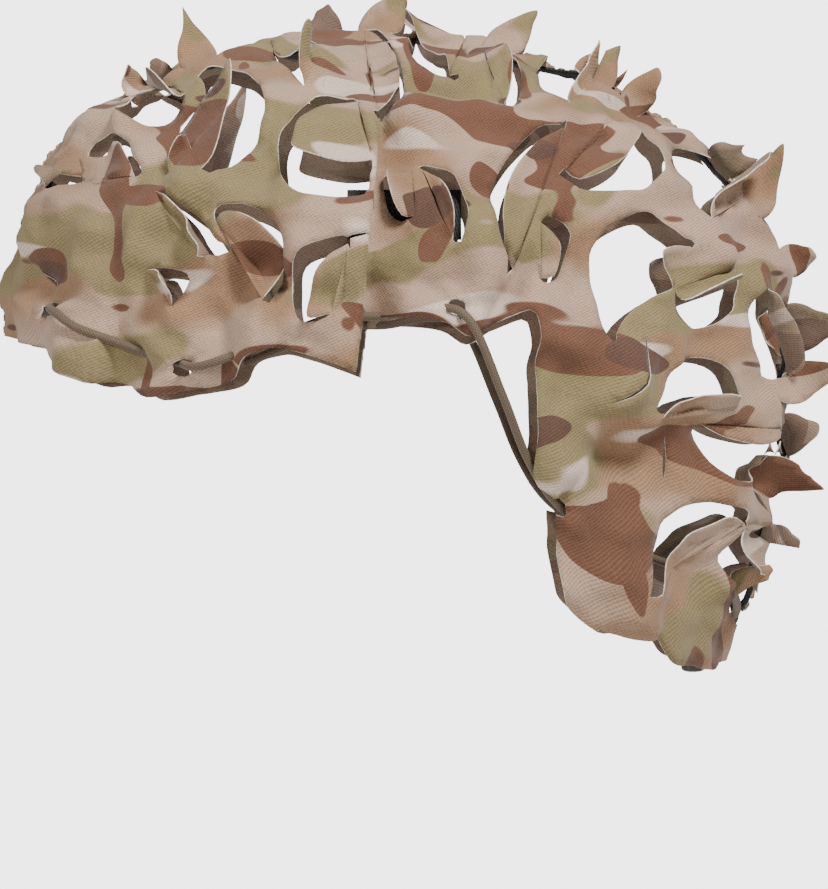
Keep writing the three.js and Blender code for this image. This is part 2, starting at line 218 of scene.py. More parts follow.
def relief(p):
    y, z = p[:, 1] / mm, p[:, 2] / mm
    away = smooth(*rumple["middleFade"], np.abs(p[:, 0]) / mm)
    out = np.zeros(len(p))
    for pleat in pleats:
        edge = pleat["edge"] + pleat["lean"] * z
        span = pleat["high"] - pleat["low"]
        fade = 1 - smooth(pleat["low"] + 0.45 * span, pleat["high"], z)
        fade *= smooth(pleat["low"] - 12, pleat["low"] + 6, z)
        before = smooth(edge - pleat["rise"], edge, y) * (y <= edge)
        after = (1 - smooth(edge, edge + pleat["drop"], y)) * (y > edge)
        valley = smooth(edge, edge + pleat["drop"], y) * (1 - smooth(edge + 7, edge + 22, y))
        out += fade * (pleat["height"] * (before + after) - pleat["depth"] * valley)
    for fold in folds:
        a, b = np.array(fold["from"], float), np.array(fold["to"], float)
        along = (b - a) / np.linalg.norm(b - a)
        s = ((y - a[0]) * along[0] + (z - a[1]) * along[1]) / np.linalg.norm(b - a)
        side = (y - a[0]) * along[1] - (z - a[1]) * along[0]
        ends = smooth(-0.15, 0.2, s) * (1 - smooth(0.55, 1.1, s))
        out += fold["height"] * ends * np.exp(-(side / fold["width"]) ** 2)
    for holeY, holeZ in cordHoles:
        reach = np.hypot(y - holeY, z - holeZ)
        turn = np.arctan2(z - holeZ, y - holeY)
        ring = np.exp(-((reach - rumple["puckerReach"]) / rumple["puckerWidth"]) ** 2)
        out += rumple["pucker"] * np.sin(rumple["puckerFolds"] * turn + holeY) * ring
    hemPitch, rearPitch = rumple["hemPitch"], rumple["rearPitch"]
    waves = rumple["hemWave"] * np.sin(y / hemPitch[0] + z / hemPitch[1])
    waves = waves * (1 - smooth(*rumple["hemFade"], z)) * (y < rumple["hemEnd"])
    rear = rumple["rearWave"] * np.sin(z / rearPitch[0] + y / rearPitch[1])
    rear = rear * smooth(*rumple["rearFade"], y)
    coarse, coarseScale = rumple["noise"]
    fine, fineScale = rumple["fineNoise"]
    ridge, ridgeScale = rumple["ridge"]
    ridges = rumple["ridgeLevel"] - np.abs(noiseAt(p, ridgeScale, Vector((2, 9, 4))))
    out = (out + waves + rear + rumple["standOff"]) * away
    out = out + coarse * noiseAt(p, coarseScale, Vector((0, 0, 0)))
    out = out + fine * noiseAt(p, fineScale, Vector((7, 3, 1))) + ridge * ridges * away
    out = np.minimum(out, rumple["most"])
    # the side hook patches keep the cloth off the helmet
    patch = smooth(*sidePatch["yFade"], np.abs(y - sidePatch["y"]))
    patch = patch * smooth(*sidePatch["zFade"], np.abs(z - sidePatch["z"]))
    floor = sidePatch["floor"]
    return np.where(out < floor, out + (floor - out) * patch, out) * mm


def overhang(p):
    # how far a pleat's crest leans back over the valley behind it
    y, z = p[:, 1] / mm, p[:, 2] / mm
    away = smooth(*rumple["middleFade"], np.abs(p[:, 0]) / mm)
    shift = np.zeros(len(p))
    for pleat in pleats:
        edge = pleat["edge"] + pleat["lean"] * z
        span = pleat["high"] - pleat["low"]
        fade = 1 - smooth(pleat["low"] + 0.45 * span, pleat["high"], z)
        before = smooth(edge - 0.5 * pleat["rise"], edge, y) * (y <= edge)
        after = (1 - smooth(edge, edge + pleat["drop"], y)) * (y > edge)
        shift += pleat.get("over", 0) * fade * (before + after)
    return shift * away * mm


def drape(flat):
    p = onSurface(flat)
    length = np.linalg.norm(p, axis=-1, keepdims=True)
    lifted = p * (1 + relief(p)[:, None] / length)
    lifted[:, 1] += overhang(p)
    return lifted


def spline(points, closed=False, step=2.2 * mm):
    # a smooth line through given points, in steps of about one mesh edge
    pts = np.asarray(points, float)
    n = len(pts)
    line = []
    for i in range(n if closed else n - 1):
        a, b = pts[i], pts[(i + 1) % n]
        before = pts[(i - 1) % n] if closed or i > 0 else 2 * a - b
        after = pts[(i + 2) % n] if closed or i + 2 < n else 2 * b - a
        count = max(2, int(np.linalg.norm(b - a) / step))
        for k in range(count):
            t = k / count
            line.append(0.5 * (2 * a + (b - before) * t + (2 * before - 5 * a + 4 * b - after) * t * t
                               + (3 * a - before - 3 * b + after) * t ** 3))
    if not closed:
        line.append(pts[-1])
    return np.array(line)


def newPiece(name, points, faces, looks, uv=None):
    # a mesh object; uv is one pair for each face corner
    mesh = bpy.data.meshes.new(name)
    mesh.from_pydata([tuple(p) for p in points], [], [tuple(f) for f in faces])
    if uv is not None:
        layer = mesh.uv_layers.new(name="cut")
        layer.data.foreach_set("uv", np.asarray(uv, float).ravel())
    for look in looks:
        mesh.materials.append(look)
    mesh.shade_smooth()
    mesh.update()
    obj = bpy.data.objects.new(name, mesh)
    bpy.context.scene.collection.objects.link(obj)
    return obj


def sweepTube(line, radius, sides, closed=False):
    # rings along a line, with faces and a UV that runs round (0 to 1) and along (metres)
    line = np.asarray(line, float)
    n = len(line)
    ahead = np.roll(line, -1, 0) - np.roll(line, 1, 0) if closed else np.gradient(line, axis=0)
    ahead = ahead / np.linalg.norm(ahead, axis=1, keepdims=True)
    up = np.array([0.0, 0.0, 1.0]) if abs(ahead[0][2]) < 0.9 else np.array([1.0, 0.0, 0.0])
    points, lengths = [], [0.0]
    for i in range(n):
        up = up - ahead[i] * (up @ ahead[i])
        up = up / np.linalg.norm(up)
        beside = np.cross(ahead[i], up)
        for k in range(sides):
            turn = tau * k / sides
            points.append(line[i] + radius * (math.cos(turn) * up + math.sin(turn) * beside))
        if i:
            lengths.append(lengths[-1] + np.linalg.norm(line[i] - line[i - 1]))
    faces, uv = [], []
    for i in range(n if closed else n - 1):
        j = (i + 1) % n
        end = lengths[j] if j else lengths[-1] + np.linalg.norm(line[0] - line[-1])
        for k in range(sides):
            m = (k + 1) % sides
            faces.append((i * sides + k, i * sides + m, j * sides + m, j * sides + k))
            uv += [(k / sides, lengths[i]), ((k + 1) / sides, lengths[i]),
                   ((k + 1) / sides, end), (k / sides, end)]
    if not closed:
        for ring, back in ((0, True), (n - 1, False)):
            middle = len(points)
            points.append(line[ring] + ahead[ring] * radius * (-0.45 if back else 0.45))
            for k in range(sides):
                m = (k + 1) % sides
                a, b = ring * sides + k, ring * sides + m
                faces.append((middle, b, a) if back else (middle, a, b))
                uv += [(0.5, lengths[ring])] * 3
    return points, faces, uv


# The flat cut, as side-view points in millimetres: the hem from the brow to the nape, with the
# round tab that hangs in front of the lock.
hem = [
    (-155, 0), (-138, -8), (-122, -17), (-110, -22), (-104, -24), (-94, -27), (-80, -25),
    (-62, -21), (-54, -11), (-45, -8), (-34, -10), (-20, -15), (-15, -17), (-14.6, -8),
    (-14.2, 1), (-4, 3), (8, 3), (18, 1.5), (24, -2), (28, -4), (36, -1), (46, 4), (53.5, 5),
    (54, -12), (53.5, -38), (54, -59), (60, -65), (63, -70), (62.5, -88), (64.5, -103),
    (69, -111), (77, -116), (88, -118.5), (98, -119), (102, -121), (105, -127), (111, -131),
    (119, -132.5), (127, -131), (133, -125), (134, -116), (131, -108), (137, -105), (150, -101),
]

# Each leaf is an open line whose two ends are its root; hole is the opening round it where the
# leaf has drawn back from the cut. lift is the angle of its tip off the cloth, twist how much
# more one edge lifts than the other.
leafCuts = [
    # brow and front of the left side
    {"hole": [(-74.7, 95.3), (-69.7, 97.3), (-62.2, 97.7), (-54.3, 94.7), (-49.3, 89),
              (-48.5, 81.2), (-52.7, 70.7), (-59.3, 62), (-66.3, 58.3), (-72.2, 58.7),
              (-84.7, 76.3), (-79.7, 82), (-73.8, 85.3), (-71.3, 91.2)],
     "leaf": [(-83.7, 77), (-74.7, 84.3), (-64.7, 88.3), (-56.3, 92.3), (-59.3, 82),
              (-63.7, 71.7), (-67, 63), (-71.7, 59.3)],
     "lift": 26, "twist": 0.5},
    {"leaf": [(-94, 96.3), (-100.5, 91), (-105, 84.7), (-103, 81.7), (-97.7, 79.7), (-91.3, 80),
              (-84.7, 83.7), (-79.7, 89.3)],
     "short": 0.55, "lift": 118, "twist": -0.3},
    {"hole": [(-123.8, 67), (-121.7, 72.7), (-116.3, 75.7), (-110, 75.8), (-103.7, 72.3),
              (-100.3, 66.7), (-98, 57.7), (-123, 56.7)],
     "leaf": [(-122.7, 56.7), (-123.7, 65.7), (-118, 66.3), (-114.3, 67.7), (-110.3, 71.7),
              (-106, 70.3), (-103, 65.3), (-99.3, 57.5)],
     "lift": 24, "twist": 0.2},
    {"leaf": [(-133, 61.3), (-127.3, 60.7), (-122, 59.2), (-125.3, 56.2), (-131.3, 54.3),
              (-135.2, 53.7)],
     "short": 0.7, "lift": 150, "twist": 0.0},
    {"leaf": [(-90.7, 51.3), (-84.7, 49), (-78, 43.7), (-70.7, 37.7), (-67.2, 32.3),
              (-61.7, 29.7), (-67.2, 27), (-74.7, 28.3)],
     "lift": 96, "twist": 0.3},
    {"leaf": [(-71.7, 74.7), (-78, 73.3), (-84.7, 72), (-86.7, 66.7), (-86.7, 59.7), (-85.3, 59)],
     "lift": 104, "twist": 0.0},
    {"leaf": [(-97.3, 21.7), (-92, 22.7), (-81, 20.7), (-81.7, 15.3), (-84.5, 7.3)],
     "lift": 60, "twist": -0.2},
    {"hole": [(-67.2, 45.3), (-58, 45.8), (-49.3, 43), (-43.7, 37.8), (-40.8, 30.3), (-41, 22.8),
              (-44.3, 15), (-49.7, 9), (-67, 38.7)],
     "leaf": [(-66.7, 40), (-64.3, 43), (-57.3, 42.7), (-49, 39), (-44.3, 32), (-43, 23.7),
              (-45.3, 16.3), (-49.7, 9.3)],
     "lift": 20, "twist": -0.5},
    {"hole": [(-19.3, 86), (-29.3, 84.7), (-38.7, 78), (-43.8, 67), (-43, 57.8), (-37, 50),
              (-28, 46.5), (-15.3, 45.3), (-13.3, 52), (-12.7, 58.7), (-15.3, 83.7)],
     "leaf": [(-15.3, 83.7), (-26.3, 81.5), (-35.7, 74.7), (-40.3, 66.3), (-41.3, 60.3),
              (-34.7, 57.7), (-24.7, 57.3), (-12.7, 59.3)],
     "lift": 24, "twist": 0.3},
    {"hole": [(-11.7, 113.3), (-5.3, 111.7), (-0.3, 107), (3.3, 99.3), (3.5, 91), (0.3, 84.3),
              (-7.3, 78.8), (-10.7, 79.3)],
     "leaf": [(-11.7, 113.2), (-5.7, 109.7), (-1.7, 102), (-0.7, 92.8), (-3, 85), (-8.7, 79.2)],
     "lift": 26, "twist": 0.1},
    {"leaf": [(-30, 98.7), (-34.3, 100.7), (-38.3, 106.7), (-43, 107.3), (-46.8, 105),
              (-44, 100.3), (-39.3, 97.7), (-35, 93.3)],
     "short": 0.4, "lift": 62, "twist": 0.2},
    {"hole": [(-34.3, 1.7), (-37.7, 12.8), (-35.7, 23.3), (-29.7, 28.3), (-21, 30.2),
              (-19.3, 25.3), (-24.7, 5)],
     "leaf": [(-20, 27.3), (-26.7, 24.7), (-31.3, 19.3), (-33.7, 12.3), (-33.8, 2.7),
              (-25.3, 4.3)],
     "lift": 30, "twist": 0.0},
    # behind the pleat
    {"leaf": [(6.3, 61.3), (2, 59.3), (-3.7, 57.7), (-3.7, 50), (-1.7, 43), (2.7, 39.8),
              (7.7, 41.2)],
     "lift": 50, "twist": 0.2},
    {"hole": [(11, 62.7), (19, 59), (25, 52), (27.3, 44.7), (26.3, 37.7), (22.7, 31.3),
              (10.3, 57.7)],
     "leaf": [(10.7, 60.7), (15.7, 56.7), (21, 50.3), (23.7, 42), (22, 32.7)],
     "lift": 30, "twist": -0.2},
    {"hole": [(5, 108.7), (7, 112.7), (10.7, 114.7), (27.3, 113.3), (26.7, 101), (20.3, 99),
              (12, 102), (7.7, 104.5)],
     "leaf": [(28, 113.3), (18.7, 116), (9.7, 116.7), (15.3, 112), (19, 107), (21.7, 99.3)],
     "lift": 42, "twist": 0.3},
    {"hole": [(33, 106), (40.7, 106.7), (46.7, 103), (49.2, 96.7), (48.3, 89.3), (43, 86.3)],
     "leaf": [(33.7, 105.3), (40, 104), (44.3, 99.7), (45.7, 93.3), (42.7, 86.7)],
     "lift": 34, "twist": 0.2},
    {"hole": [(62.3, 75.8), (53.7, 74.5), (46.2, 68), (40.3, 58.7), (37.2, 48.3), (37.8, 36.7),
              (41.7, 25.3), (45.7, 21.7), (63.7, 73.7)],
     "leaf": [(63, 74.5), (55.7, 71), (49, 65), (43.8, 56.7), (41.3, 47), (40.7, 38.3),
              (42, 29.5), (45.7, 22.3)],
     "lift": 24, "twist": -0.2},
    {"hole": [(57, 41), (63.7, 40.3), (67.3, 35), (67.2, 26.7), (63, 18), (56, 19.3)],
     "leaf": [(56.7, 40), (60.7, 36.7), (64.3, 30), (64.7, 24.3), (62.3, 18.7), (57.3, 18.7)],
     "lift": 30, "twist": 0.2},
    # back of the left side
    {"leaf": [(75.3, 94.5), (76.2, 100.3), (70.3, 105.3), (62.8, 106), (57.7, 103.7),
              (55.7, 99.7), (56.7, 94.3), (60.7, 89), (66.7, 85.3)],
     "short": 0.26, "lift": 80, "twist": 0.2},
    {"hole": [(92, 78.7), (97.3, 74.7), (100.7, 68), (100.3, 59.7), (95.3, 52.7), (88.7, 50.7),
              (80, 51), (70.3, 52.3), (62.8, 56.7), (64.7, 60.3), (80.3, 78)],
     "leaf": [(82, 78.3), (89.7, 80), (91.3, 73.3), (89, 65.3), (84, 59.3), (77, 55),
              (68.7, 54.3), (64.7, 58.7)],
     "lift": 30, "twist": -0.3},
    {"leaf": [(131.5, 48.7), (130, 55), (125.3, 63), (120, 69), (115, 72.3), (110.7, 70.7),
              (108.7, 65), (110.3, 57), (114, 49), (118.7, 40.7)],
     "short": 0.6, "lift": 104, "twist": 0.15},
    {"hole": [(76.7, 25.3), (78.7, 33.7), (84.7, 39.7), (92.3, 43.3), (99, 43.7), (104.3, 38.3),
              (108.7, 33.3), (112, 31), (108.7, 23.7), (106.7, 15.3), (98.7, 11), (90.3, 5),
              (84, -2.3), (81.3, -5.7), (77.7, 7.8)],
     "leaf": [(110.7, 30), (104.3, 31), (96.3, 30), (100, 25.3), (104.7, 20), (106.3, 15)],
     "lift": 48, "twist": 0.4},
    {"leaf": [(132, 23.3), (134.3, 15), (132, 6.7), (125.7, 1), (117, -0.5), (110.7, 4.7),
              (107, 14.7)],
     "short": 0.62, "lift": 138, "twist": -0.3},
    {"leaf": [(144, 15.3), (140.3, 12.7), (138.3, 5), (138.7, -5), (141.3, -14.7),
              (145.3, -19.7), (150.7, -18.7)],
     "short": 0.8, "lift": 100, "twist": 0.0},
    {"hole": [(97.8, -32.2), (101.3, -23.3), (106.3, -16.3), (113.7, -12.3), (123.7, -12.7),
              (129.7, -17.3), (132.3, -24.7), (132.3, -29.3)],
     "leaf": [(99, -34), (103, -28.7), (109.3, -25.3), (117, -23.7), (125.3, -23),
              (131.3, -25.3), (132, -30)],
     "lift": 26, "twist": 0.2},
    {"hole": [(120, -37.7), (121.7, -50), (125.7, -55.7), (133.7, -58.3), (142, -55.7),
              (146.3, -49.7), (148.3, -37.7)],
     "leaf": [(120, -37.7), (123.7, -41), (130, -43.7), (138.7, -45), (145, -43.3), (148.3, -38)],
     "lift": 34, "twist": 0.0},
    {"hole": [(97.3, -100), (97, -91.3), (99.7, -82.7), (105.7, -73), (114, -68), (123.7, -66.8),
              (132.3, -71.7)],
     "leaf": [(98.7, -100.3), (102, -90), (108.7, -80), (117, -72.3), (125.3, -69),
              (131.7, -72.7)],
     "lift": 24, "twist": 0.3},
    {"leaf": [(134, -76.3), (129, -81.3), (125.3, -88.3), (127.3, -95), (134, -98.3),
              (142, -94.7), (148.3, -84.7)],
     "lift": 66, "twist": -0.3},
]

# Short cuts that stay shut, a hair open.
slits = [
    [(95.2, -2.3), (92.7, -11.7), (88.3, -20.3), (78, -29.2)],
    [(106.8, -43.2), (107.3, -52), (106, -60.8)],
    [(17.2, 90.8), (22.7, 91.5), (27.2, 87.3)],
    [(-23.3, 27.3), (-18.3, 30), (-10.7, 31.3)],
    [(-139.3, 21.7), (-136.3, 20), (-133.7, 16.7)],
    [(128, -69.2), (132.3, -74), (137.2, -80)],
]

# Leaves near the middle line, which make the skyline, placed by angle. heading 0 points at the
# middle line and 180 at the ear; a bigger tip value is more pointed.
crownLeaves = [
    {"at": (126, 22), "heading": 8, "length": 31, "width": 19, "tip": 1.8, "lift": 90, "twist": 0.1,
     "bend": -0.25},
    {"at": (133, 12), "heading": 175, "length": 13, "width": 13, "tip": 0.7, "lift": 100,
     "twist": 0.2},
    {"at": (137, 14), "heading": 20, "length": 16, "width": 12, "tip": 1.4, "lift": 130,
     "twist": 0.0},
    {"at": (108, 26), "heading": 30, "length": 20, "width": 22, "tip": 1.5, "lift": 40,
     "twist": -0.4, "bend": 0.3},
    {"at": (103.5, 7), "heading": 186, "length": 19, "width": 22, "tip": 0.55, "lift": 96,
     "twist": -0.3, "bend": 0.2},
    {"at": (94, 16), "heading": -20, "length": 25, "width": 24, "tip": 1.3, "lift": 76,
     "twist": 0.6, "bend": -0.35},
    {"at": (80.5, 7), "heading": 184, "length": 17, "width": 21, "tip": 0.55, "lift": 94,
     "twist": -0.3, "bend": 0.2},
    {"at": (70, 16), "heading": -22, "length": 25, "width": 23, "tip": 1.4, "lift": 72,
     "twist": 0.6, "bend": -0.4},
    {"at": (52, 16), "heading": -6, "length": 26, "width": 23, "tip": 1.5, "lift": 84, "twist": 0.3,
     "bend": -0.2},
    {"at": (50, 6), "heading": 172, "length": 19, "width": 17, "tip": 0.7, "lift": 100,
     "twist": 0.5},
    {"at": (43.5, 14), "heading": 6, "length": 22, "width": 17, "tip": 0.7, "lift": 92,
     "twist": -0.4, "bend": 0.1},
    {"at": (27, 7), "heading": 174, "length": 23, "width": 20, "tip": 0.7, "lift": 88, "twist": 0.4,
     "bend": 0.3},
    {"at": (20, 18), "heading": -10, "length": 28, "width": 21, "tip": 1.4, "lift": 78,
     "twist": 0.5, "bend": 0.35},
    {"at": (9.5, 13), "heading": 4, "length": 15, "width": 14, "tip": 0.6, "lift": 100,
     "twist": 0.3},
    {"at": (0, 7), "heading": 178, "length": 25, "width": 23, "tip": 0.5, "lift": 88, "twist": 0.3},
    {"at": (-7.5, 18), "heading": -14, "length": 29, "width": 19, "tip": 1.3, "lift": 76,
     "twist": 0.5, "bend": 0.3},
    {"at": (-15.5, 7), "heading": 176, "length": 18, "width": 17, "tip": 0.7, "lift": 90,
     "twist": -0.3},
    {"at": (-21.5, 17), "heading": 4, "length": 28, "width": 19, "tip": 1.4, "lift": 76,
     "twist": 0.4, "bend": 0.3},
    {"at": (-29.5, 8), "heading": 176, "length": 15, "width": 14, "tip": 0.8, "lift": 90,
     "twist": 0.2},
    {"at": (-36, 17), "heading": 0, "length": 23, "width": 21, "tip": 0.45, "lift": 80,
     "twist": 0.2},
]


def leafOutline(leaf):
    # a leaf from its place, heading, length and width
    middle = fromCrown(*leaf["at"])
    turn = math.radians(leaf["at"][0] + leaf["heading"])
    along = np.array([math.cos(turn), math.sin(turn)])
    across = np.array([-along[1], along[0]])
    rim = []
    steps = 9
    for side in (-1, 1):
        for k in range(steps + 1):
            step = k if side < 0 else steps - k
            share = math.sin(math.pi / 2 * step / steps)
            half = math.cos(math.pi / 2 * step / steps) ** leaf["tip"]
            half *= 0.8 + 0.32 * math.sin(math.pi * min(share * 1.25, 1))
            bend = leaf.get("bend", 0) * share * share * leaf["length"]
            place = along * share * leaf["length"] + across * (side * half * leaf["width"] / 2 + bend)
            rim.append(middle + place * mm)
    return spline(np.array([p for i, p in enumerate(rim) if i != steps + 1]))


def allLeaves():
    leaves = []
    for leaf in leafCuts:
        hole = spline(fromSide(leaf["hole"]), True) if "hole" in leaf else None
        line = spline(fromSide(leaf["leaf"]))
        if "short" in leaf:
            # only this share of the opening's length is leaf; the rest was trimmed off
            hole = line
            across = (line[-1] - line[0]) / np.linalg.norm(line[-1] - line[0])
            t = (line - line[0]) @ across
            foot = line[0] + across * t[:, None]
            line = foot + (line - foot) * leaf["short"]
        leaves.append({**leaf, "line": line, "opening": hole})
    for leaf in crownLeaves:
        leaves.append({**leaf, "line": leafOutline(leaf), "opening": None})
    return leaves


def insidePolygon(points, polygon):
    x, y = points[:, 0], points[:, 1]
    inside = np.zeros(len(points), bool)
    for (ax, ay), (bx, by) in zip(polygon, np.roll(polygon, -1, axis=0)):
        crosses = (ay > y) != (by > y)
        with np.errstate(divide="ignore", invalid="ignore"):
            at = (bx - ax) * (y - ay) / (by - ay) + ax
        inside ^= crosses & (x < at)
    return inside


cloth = {"meshStep": 2.7 * mm, "thickness": 0.5 * mm, "middleEdge": 0.982, "cordHole": 3.6 * mm,
         "slitWidth": 1.1 * mm, "drawBack": 0.07}
meshStep = cloth["meshStep"]


def boundaryLine():
    hemLine = spline(fromSide(hem))
    first, last = hemLine[0], hemLine[-1]
    start = math.atan2(last[1], last[0])
    end = math.atan2(first[1], first[0])
    if end < start:
        end += tau
    count = int(rimRadius * (end - start) / meshStep)
    crown = []
    for k in range(1, count):
        turn = start + (end - start) * k / count
        reach = rimRadius * cloth["middleEdge"]
        crown.append([reach * math.cos(turn), reach * math.sin(turn)])
    return np.vstack([hemLine, np.array(crown)])


def rootLine(line):
    # a leaf's root from a to b, the direction along it, and the direction the leaf points in
    a, b = line[0], line[-1]
    across = (b - a) / np.linalg.norm(b - a)
    along = np.array([across[1], -across[0]])
    if (line.mean(0) - a) @ along < 0:
        along = -along
    return a, b, across, along


def slitOutline(points):
    # a long thin lens along a cut
    line = spline(fromSide(points), False, 3 * mm)
    ahead = np.gradient(line, axis=0)
    ahead = ahead / np.linalg.norm(ahead, axis=1, keepdims=True)
    beside = np.column_stack([-ahead[:, 1], ahead[:, 0]])
    swell = np.sin(np.linspace(0, math.pi, len(line)))[:, None] * cloth["slitWidth"] / 2
    return np.vstack([line + beside * swell, (line - beside * swell)[-2:0:-1]])


def triangulate(leaves):
    # the flat cut as points and triangles, each triangle with the leaf it belongs to
    boundary = boundaryLine()
    holes = []
    for place in cordHoles:
        middle = fromSide([place])[0]
        turns = np.linspace(0, tau, 14, endpoint=False)
        ring = np.column_stack([np.cos(turns), np.sin(turns)])
        holes.append(middle + cloth["cordHole"] * ring)
    holes += [slitOutline(points) for points in slits]
    openings = [leaf["opening"] for leaf in leaves if leaf["opening"] is not None]
    points, edges = [], []
    for line in [boundary] + holes + openings + [leaf["line"] for leaf in leaves]:
        base = len(points)
        points.extend(line.tolist())
        count = len(line)
        edges.extend((base + i, base + (i + 1) % count) for i in range(count))
    for pleat in pleats[:2]:
        for shift in (0, pleat["drop"]):
            zs = np.arange(pleat["low"] + 8, pleat["high"] - 4, 3.0)
            crease = fromSide([(pleat["edge"] + pleat["lean"] * z + shift, z) for z in zs])
            points.extend(crease.tolist())
    fixed = np.array(points)
    tree = kdtree.KDTree(len(fixed))
    for i, (x, y) in enumerate(fixed):
        tree.insert((x, y, 0), i)
    tree.balance()
    low, high = boundary.min(0), boundary.max(0)
    grid = []
    for j, y in enumerate(np.arange(low[1], high[1], meshStep * 0.866)):
        for x in np.arange(low[0] + (j % 2) * meshStep / 2, high[0], meshStep):
            grid.append((x, y))
    grid = np.array(grid)
    grid = grid[insidePolygon(grid, boundary)]
    points.extend([list(p) for p in grid if tree.find((p[0], p[1], 0))[2] > 0.62 * meshStep])
    verts, _, faces, *_ = delaunay_2d_cdt([Vector(p) for p in points], edges, [], 0, 1e-7)
    flat = np.array([[v.x, v.y] for v in verts])
    faces = np.array([f[:3] for f in faces])
    centres = flat[faces].mean(1)
    owner = np.full(len(faces), -1)
    for k, leaf in enumerate(leaves):
        owner[insidePolygon(centres, leaf["line"]) & (owner < 0)] = k
    keep = insidePolygon(centres, boundary)
    for hole in holes:
        keep &= ~insidePolygon(centres, hole)
    for leaf in leaves:
        if leaf["opening"] is None:
            continue
        a, b, across, along = rootLine(leaf["line"])
        s, t = (centres - a) @ along, (centres - a) @ across
        behind = (s < 0) & (s > -7 * mm) & (t > 0) & (t < np.linalg.norm(b - a))
        keep &= ~(insidePolygon(centres, leaf["opening"]) & (owner < 0) & ~behind)
    return flat, faces[keep], owner[keep]


def leafShape(flat, leaf, lift, twist):
    # where the points of one leaf go when it draws back and curls up about its root line
    a, b, across, along = rootLine(leaf["line"])
    width = np.linalg.norm(b - a)
    s = (flat - a) @ along
    t = (flat - a) @ across
    length = ((leaf["line"] - a) @ along).max()
    root = a + across * t[:, None]
    side = t / width - 0.5
    ahead01 = np.clip(s / length, -0.3, 1)
    tip = math.radians(lift) * np.clip(1 + twist * side, 0.3, 1.7)
    steps = 10
    x, y = np.zeros(len(flat)), np.zeros(len(flat))
    for k in range(steps):
        share = ahead01 * (k + 0.5) / steps
        angle = tip * smooth(-0.12, 0.72, share)
        x += np.cos(angle) * s / steps
        y += np.sin(angle) * s / steps
    start = drape(root + across * (-cloth["drawBack"] * side * width * ahead01)[:, None])
    probe = 1.5 * mm
    ahead = drape(root + along * probe) - drape(root - along * probe)
    beside = drape(root + across * probe) - drape(root - across * probe)
    ahead = ahead.mean(0) / np.linalg.norm(ahead.mean(0))
    beside = beside.mean(0) / np.linalg.norm(beside.mean(0))
    up = np.cross(ahead, beside)
    up = up / np.linalg.norm(up)
    if up @ start.mean(0) < 0:
        up = -up
    cup = 0.55 * (side ** 2 - 0.08) * np.maximum(s, 0) * 0.6
    sag = 0.4 * mm * np.sin(ahead01 * 9 + side * 5)
    return start + ahead * x[:, None] + up * (y + cup + sag * ahead01)[:, None]


def solidMesh(name, points, faces, uv, thickness, looks):
    # a sheet made thick, with its own looks for the outside, the inside and the cut edge
    flatUv = uv[faces].reshape(-1, 2)
    obj = newPiece(name, points, faces, looks, flatUv)
    modifier = obj.modifiers.new("thickness", "SOLIDIFY")
    modifier.thickness = thickness
    modifier.offset = 0
    modifier.material_offset = 1
    modifier.material_offset_rim = 2
    bpy.context.view_layer.update()
    solid = bpy.data.meshes.new_from_object(obj.evaluated_get(bpy.context.evaluated_depsgraph_get()))
    obj.modifiers.clear()
    obj.data = solid
    solid.name = name
    return obj


def makeHalf(name, side, cutting, leaves, looks, seed):
    flat, faces, owner = cutting
    chance = random.Random(seed)
    points, uv, triangles = [drape(flat)], [flat], [faces[owner < 0]]
    count = len(flat)
    for k, leaf in enumerate(leaves):
        mine = faces[owner == k]
        if not len(mine):
            continue
        used = np.unique(mine)
        a, b = leaf["line"][0], leaf["line"][-1]
        across = (b - a) / np.linalg.norm(b - a)
        away = np.abs((flat[used] - a) @ np.array([across[1], -across[0]]))
        lift = leaf["lift"] * (1 if side > 0 else chance.uniform(0.75, 1.2))
        twist = leaf["twist"] + (0 if side > 0 else chance.uniform(-0.3, 0.3))
        moved = leafShape(flat[used], leaf, lift, twist)
        where = np.full(len(flat), -1)
        onRoot = away < 1e-6
        where[used[onRoot]] = used[onRoot]
        loose = used[~onRoot]
        where[loose] = count + np.arange(len(loose))
        points.append(moved[~onRoot])
        uv.append(flat[loose])
        triangles.append(where[mine])
        count += len(loose)
    points, uv, triangles = np.vstack(points), np.vstack(uv), np.vstack(triangles)
    used = np.unique(triangles)
    index = np.full(len(points), -1)
    index[used] = np.arange(len(used))
    points, uv, triangles = points[used], uv[used], index[triangles]
    if side < 0:
        points = points * np.array([-1, 1, 1])
        uv = uv * np.array([-1, 1]) + np.array([0.9, 0.37])
    a, b, c = (points[triangles[:, i]] for i in range(3))
    outward = np.einsum("ij,ij->i", np.cross(b - a, c - a), (a + b + c))
    if np.median(outward) < 0:
        triangles = triangles[:, ::-1]
    return solidMesh(name, points, triangles, uv, cloth["thickness"], looks)


def makeGroup(name, inputs, outputs):
    # a node group; inputs and outputs are (name, socket type) pairs
    group = bpy.data.node_groups.new(name, "ShaderNodeTree")
    for label, kind in inputs:
        group.interface.new_socket(label, in_out="INPUT", socket_type=kind)
    for label, kind in outputs:
        group.interface.new_socket(label, in_out="OUTPUT", socket_type=kind)
    return group, group.nodes.new("NodeGroupInput"), group.nodes.new("NodeGroupOutput")


def addMath(tree, operation, a, b=None, c=None):
    node = tree.nodes.new("ShaderNodeMath")
    node.operation = operation
    for socket, value in zip(node.inputs, (a, b, c)):
        if value is None:
            continue
        if isinstance(value, (int, float)):
            socket.default_value = value
        else:
            tree.links.new(value, socket)
    return node.outputs[0]


def addMap(tree, vector, scale, location=(0, 0, 0), turn=0.0):
    node = tree.nodes.new("ShaderNodeMapping")
    node.inputs["Scale"].default_value = scale
    node.inputs["Location"].default_value = location
    node.inputs["Rotation"].default_value = (0, 0, turn)
    tree.links.new(vector, node.inputs["Vector"])
    return node.outputs[0]


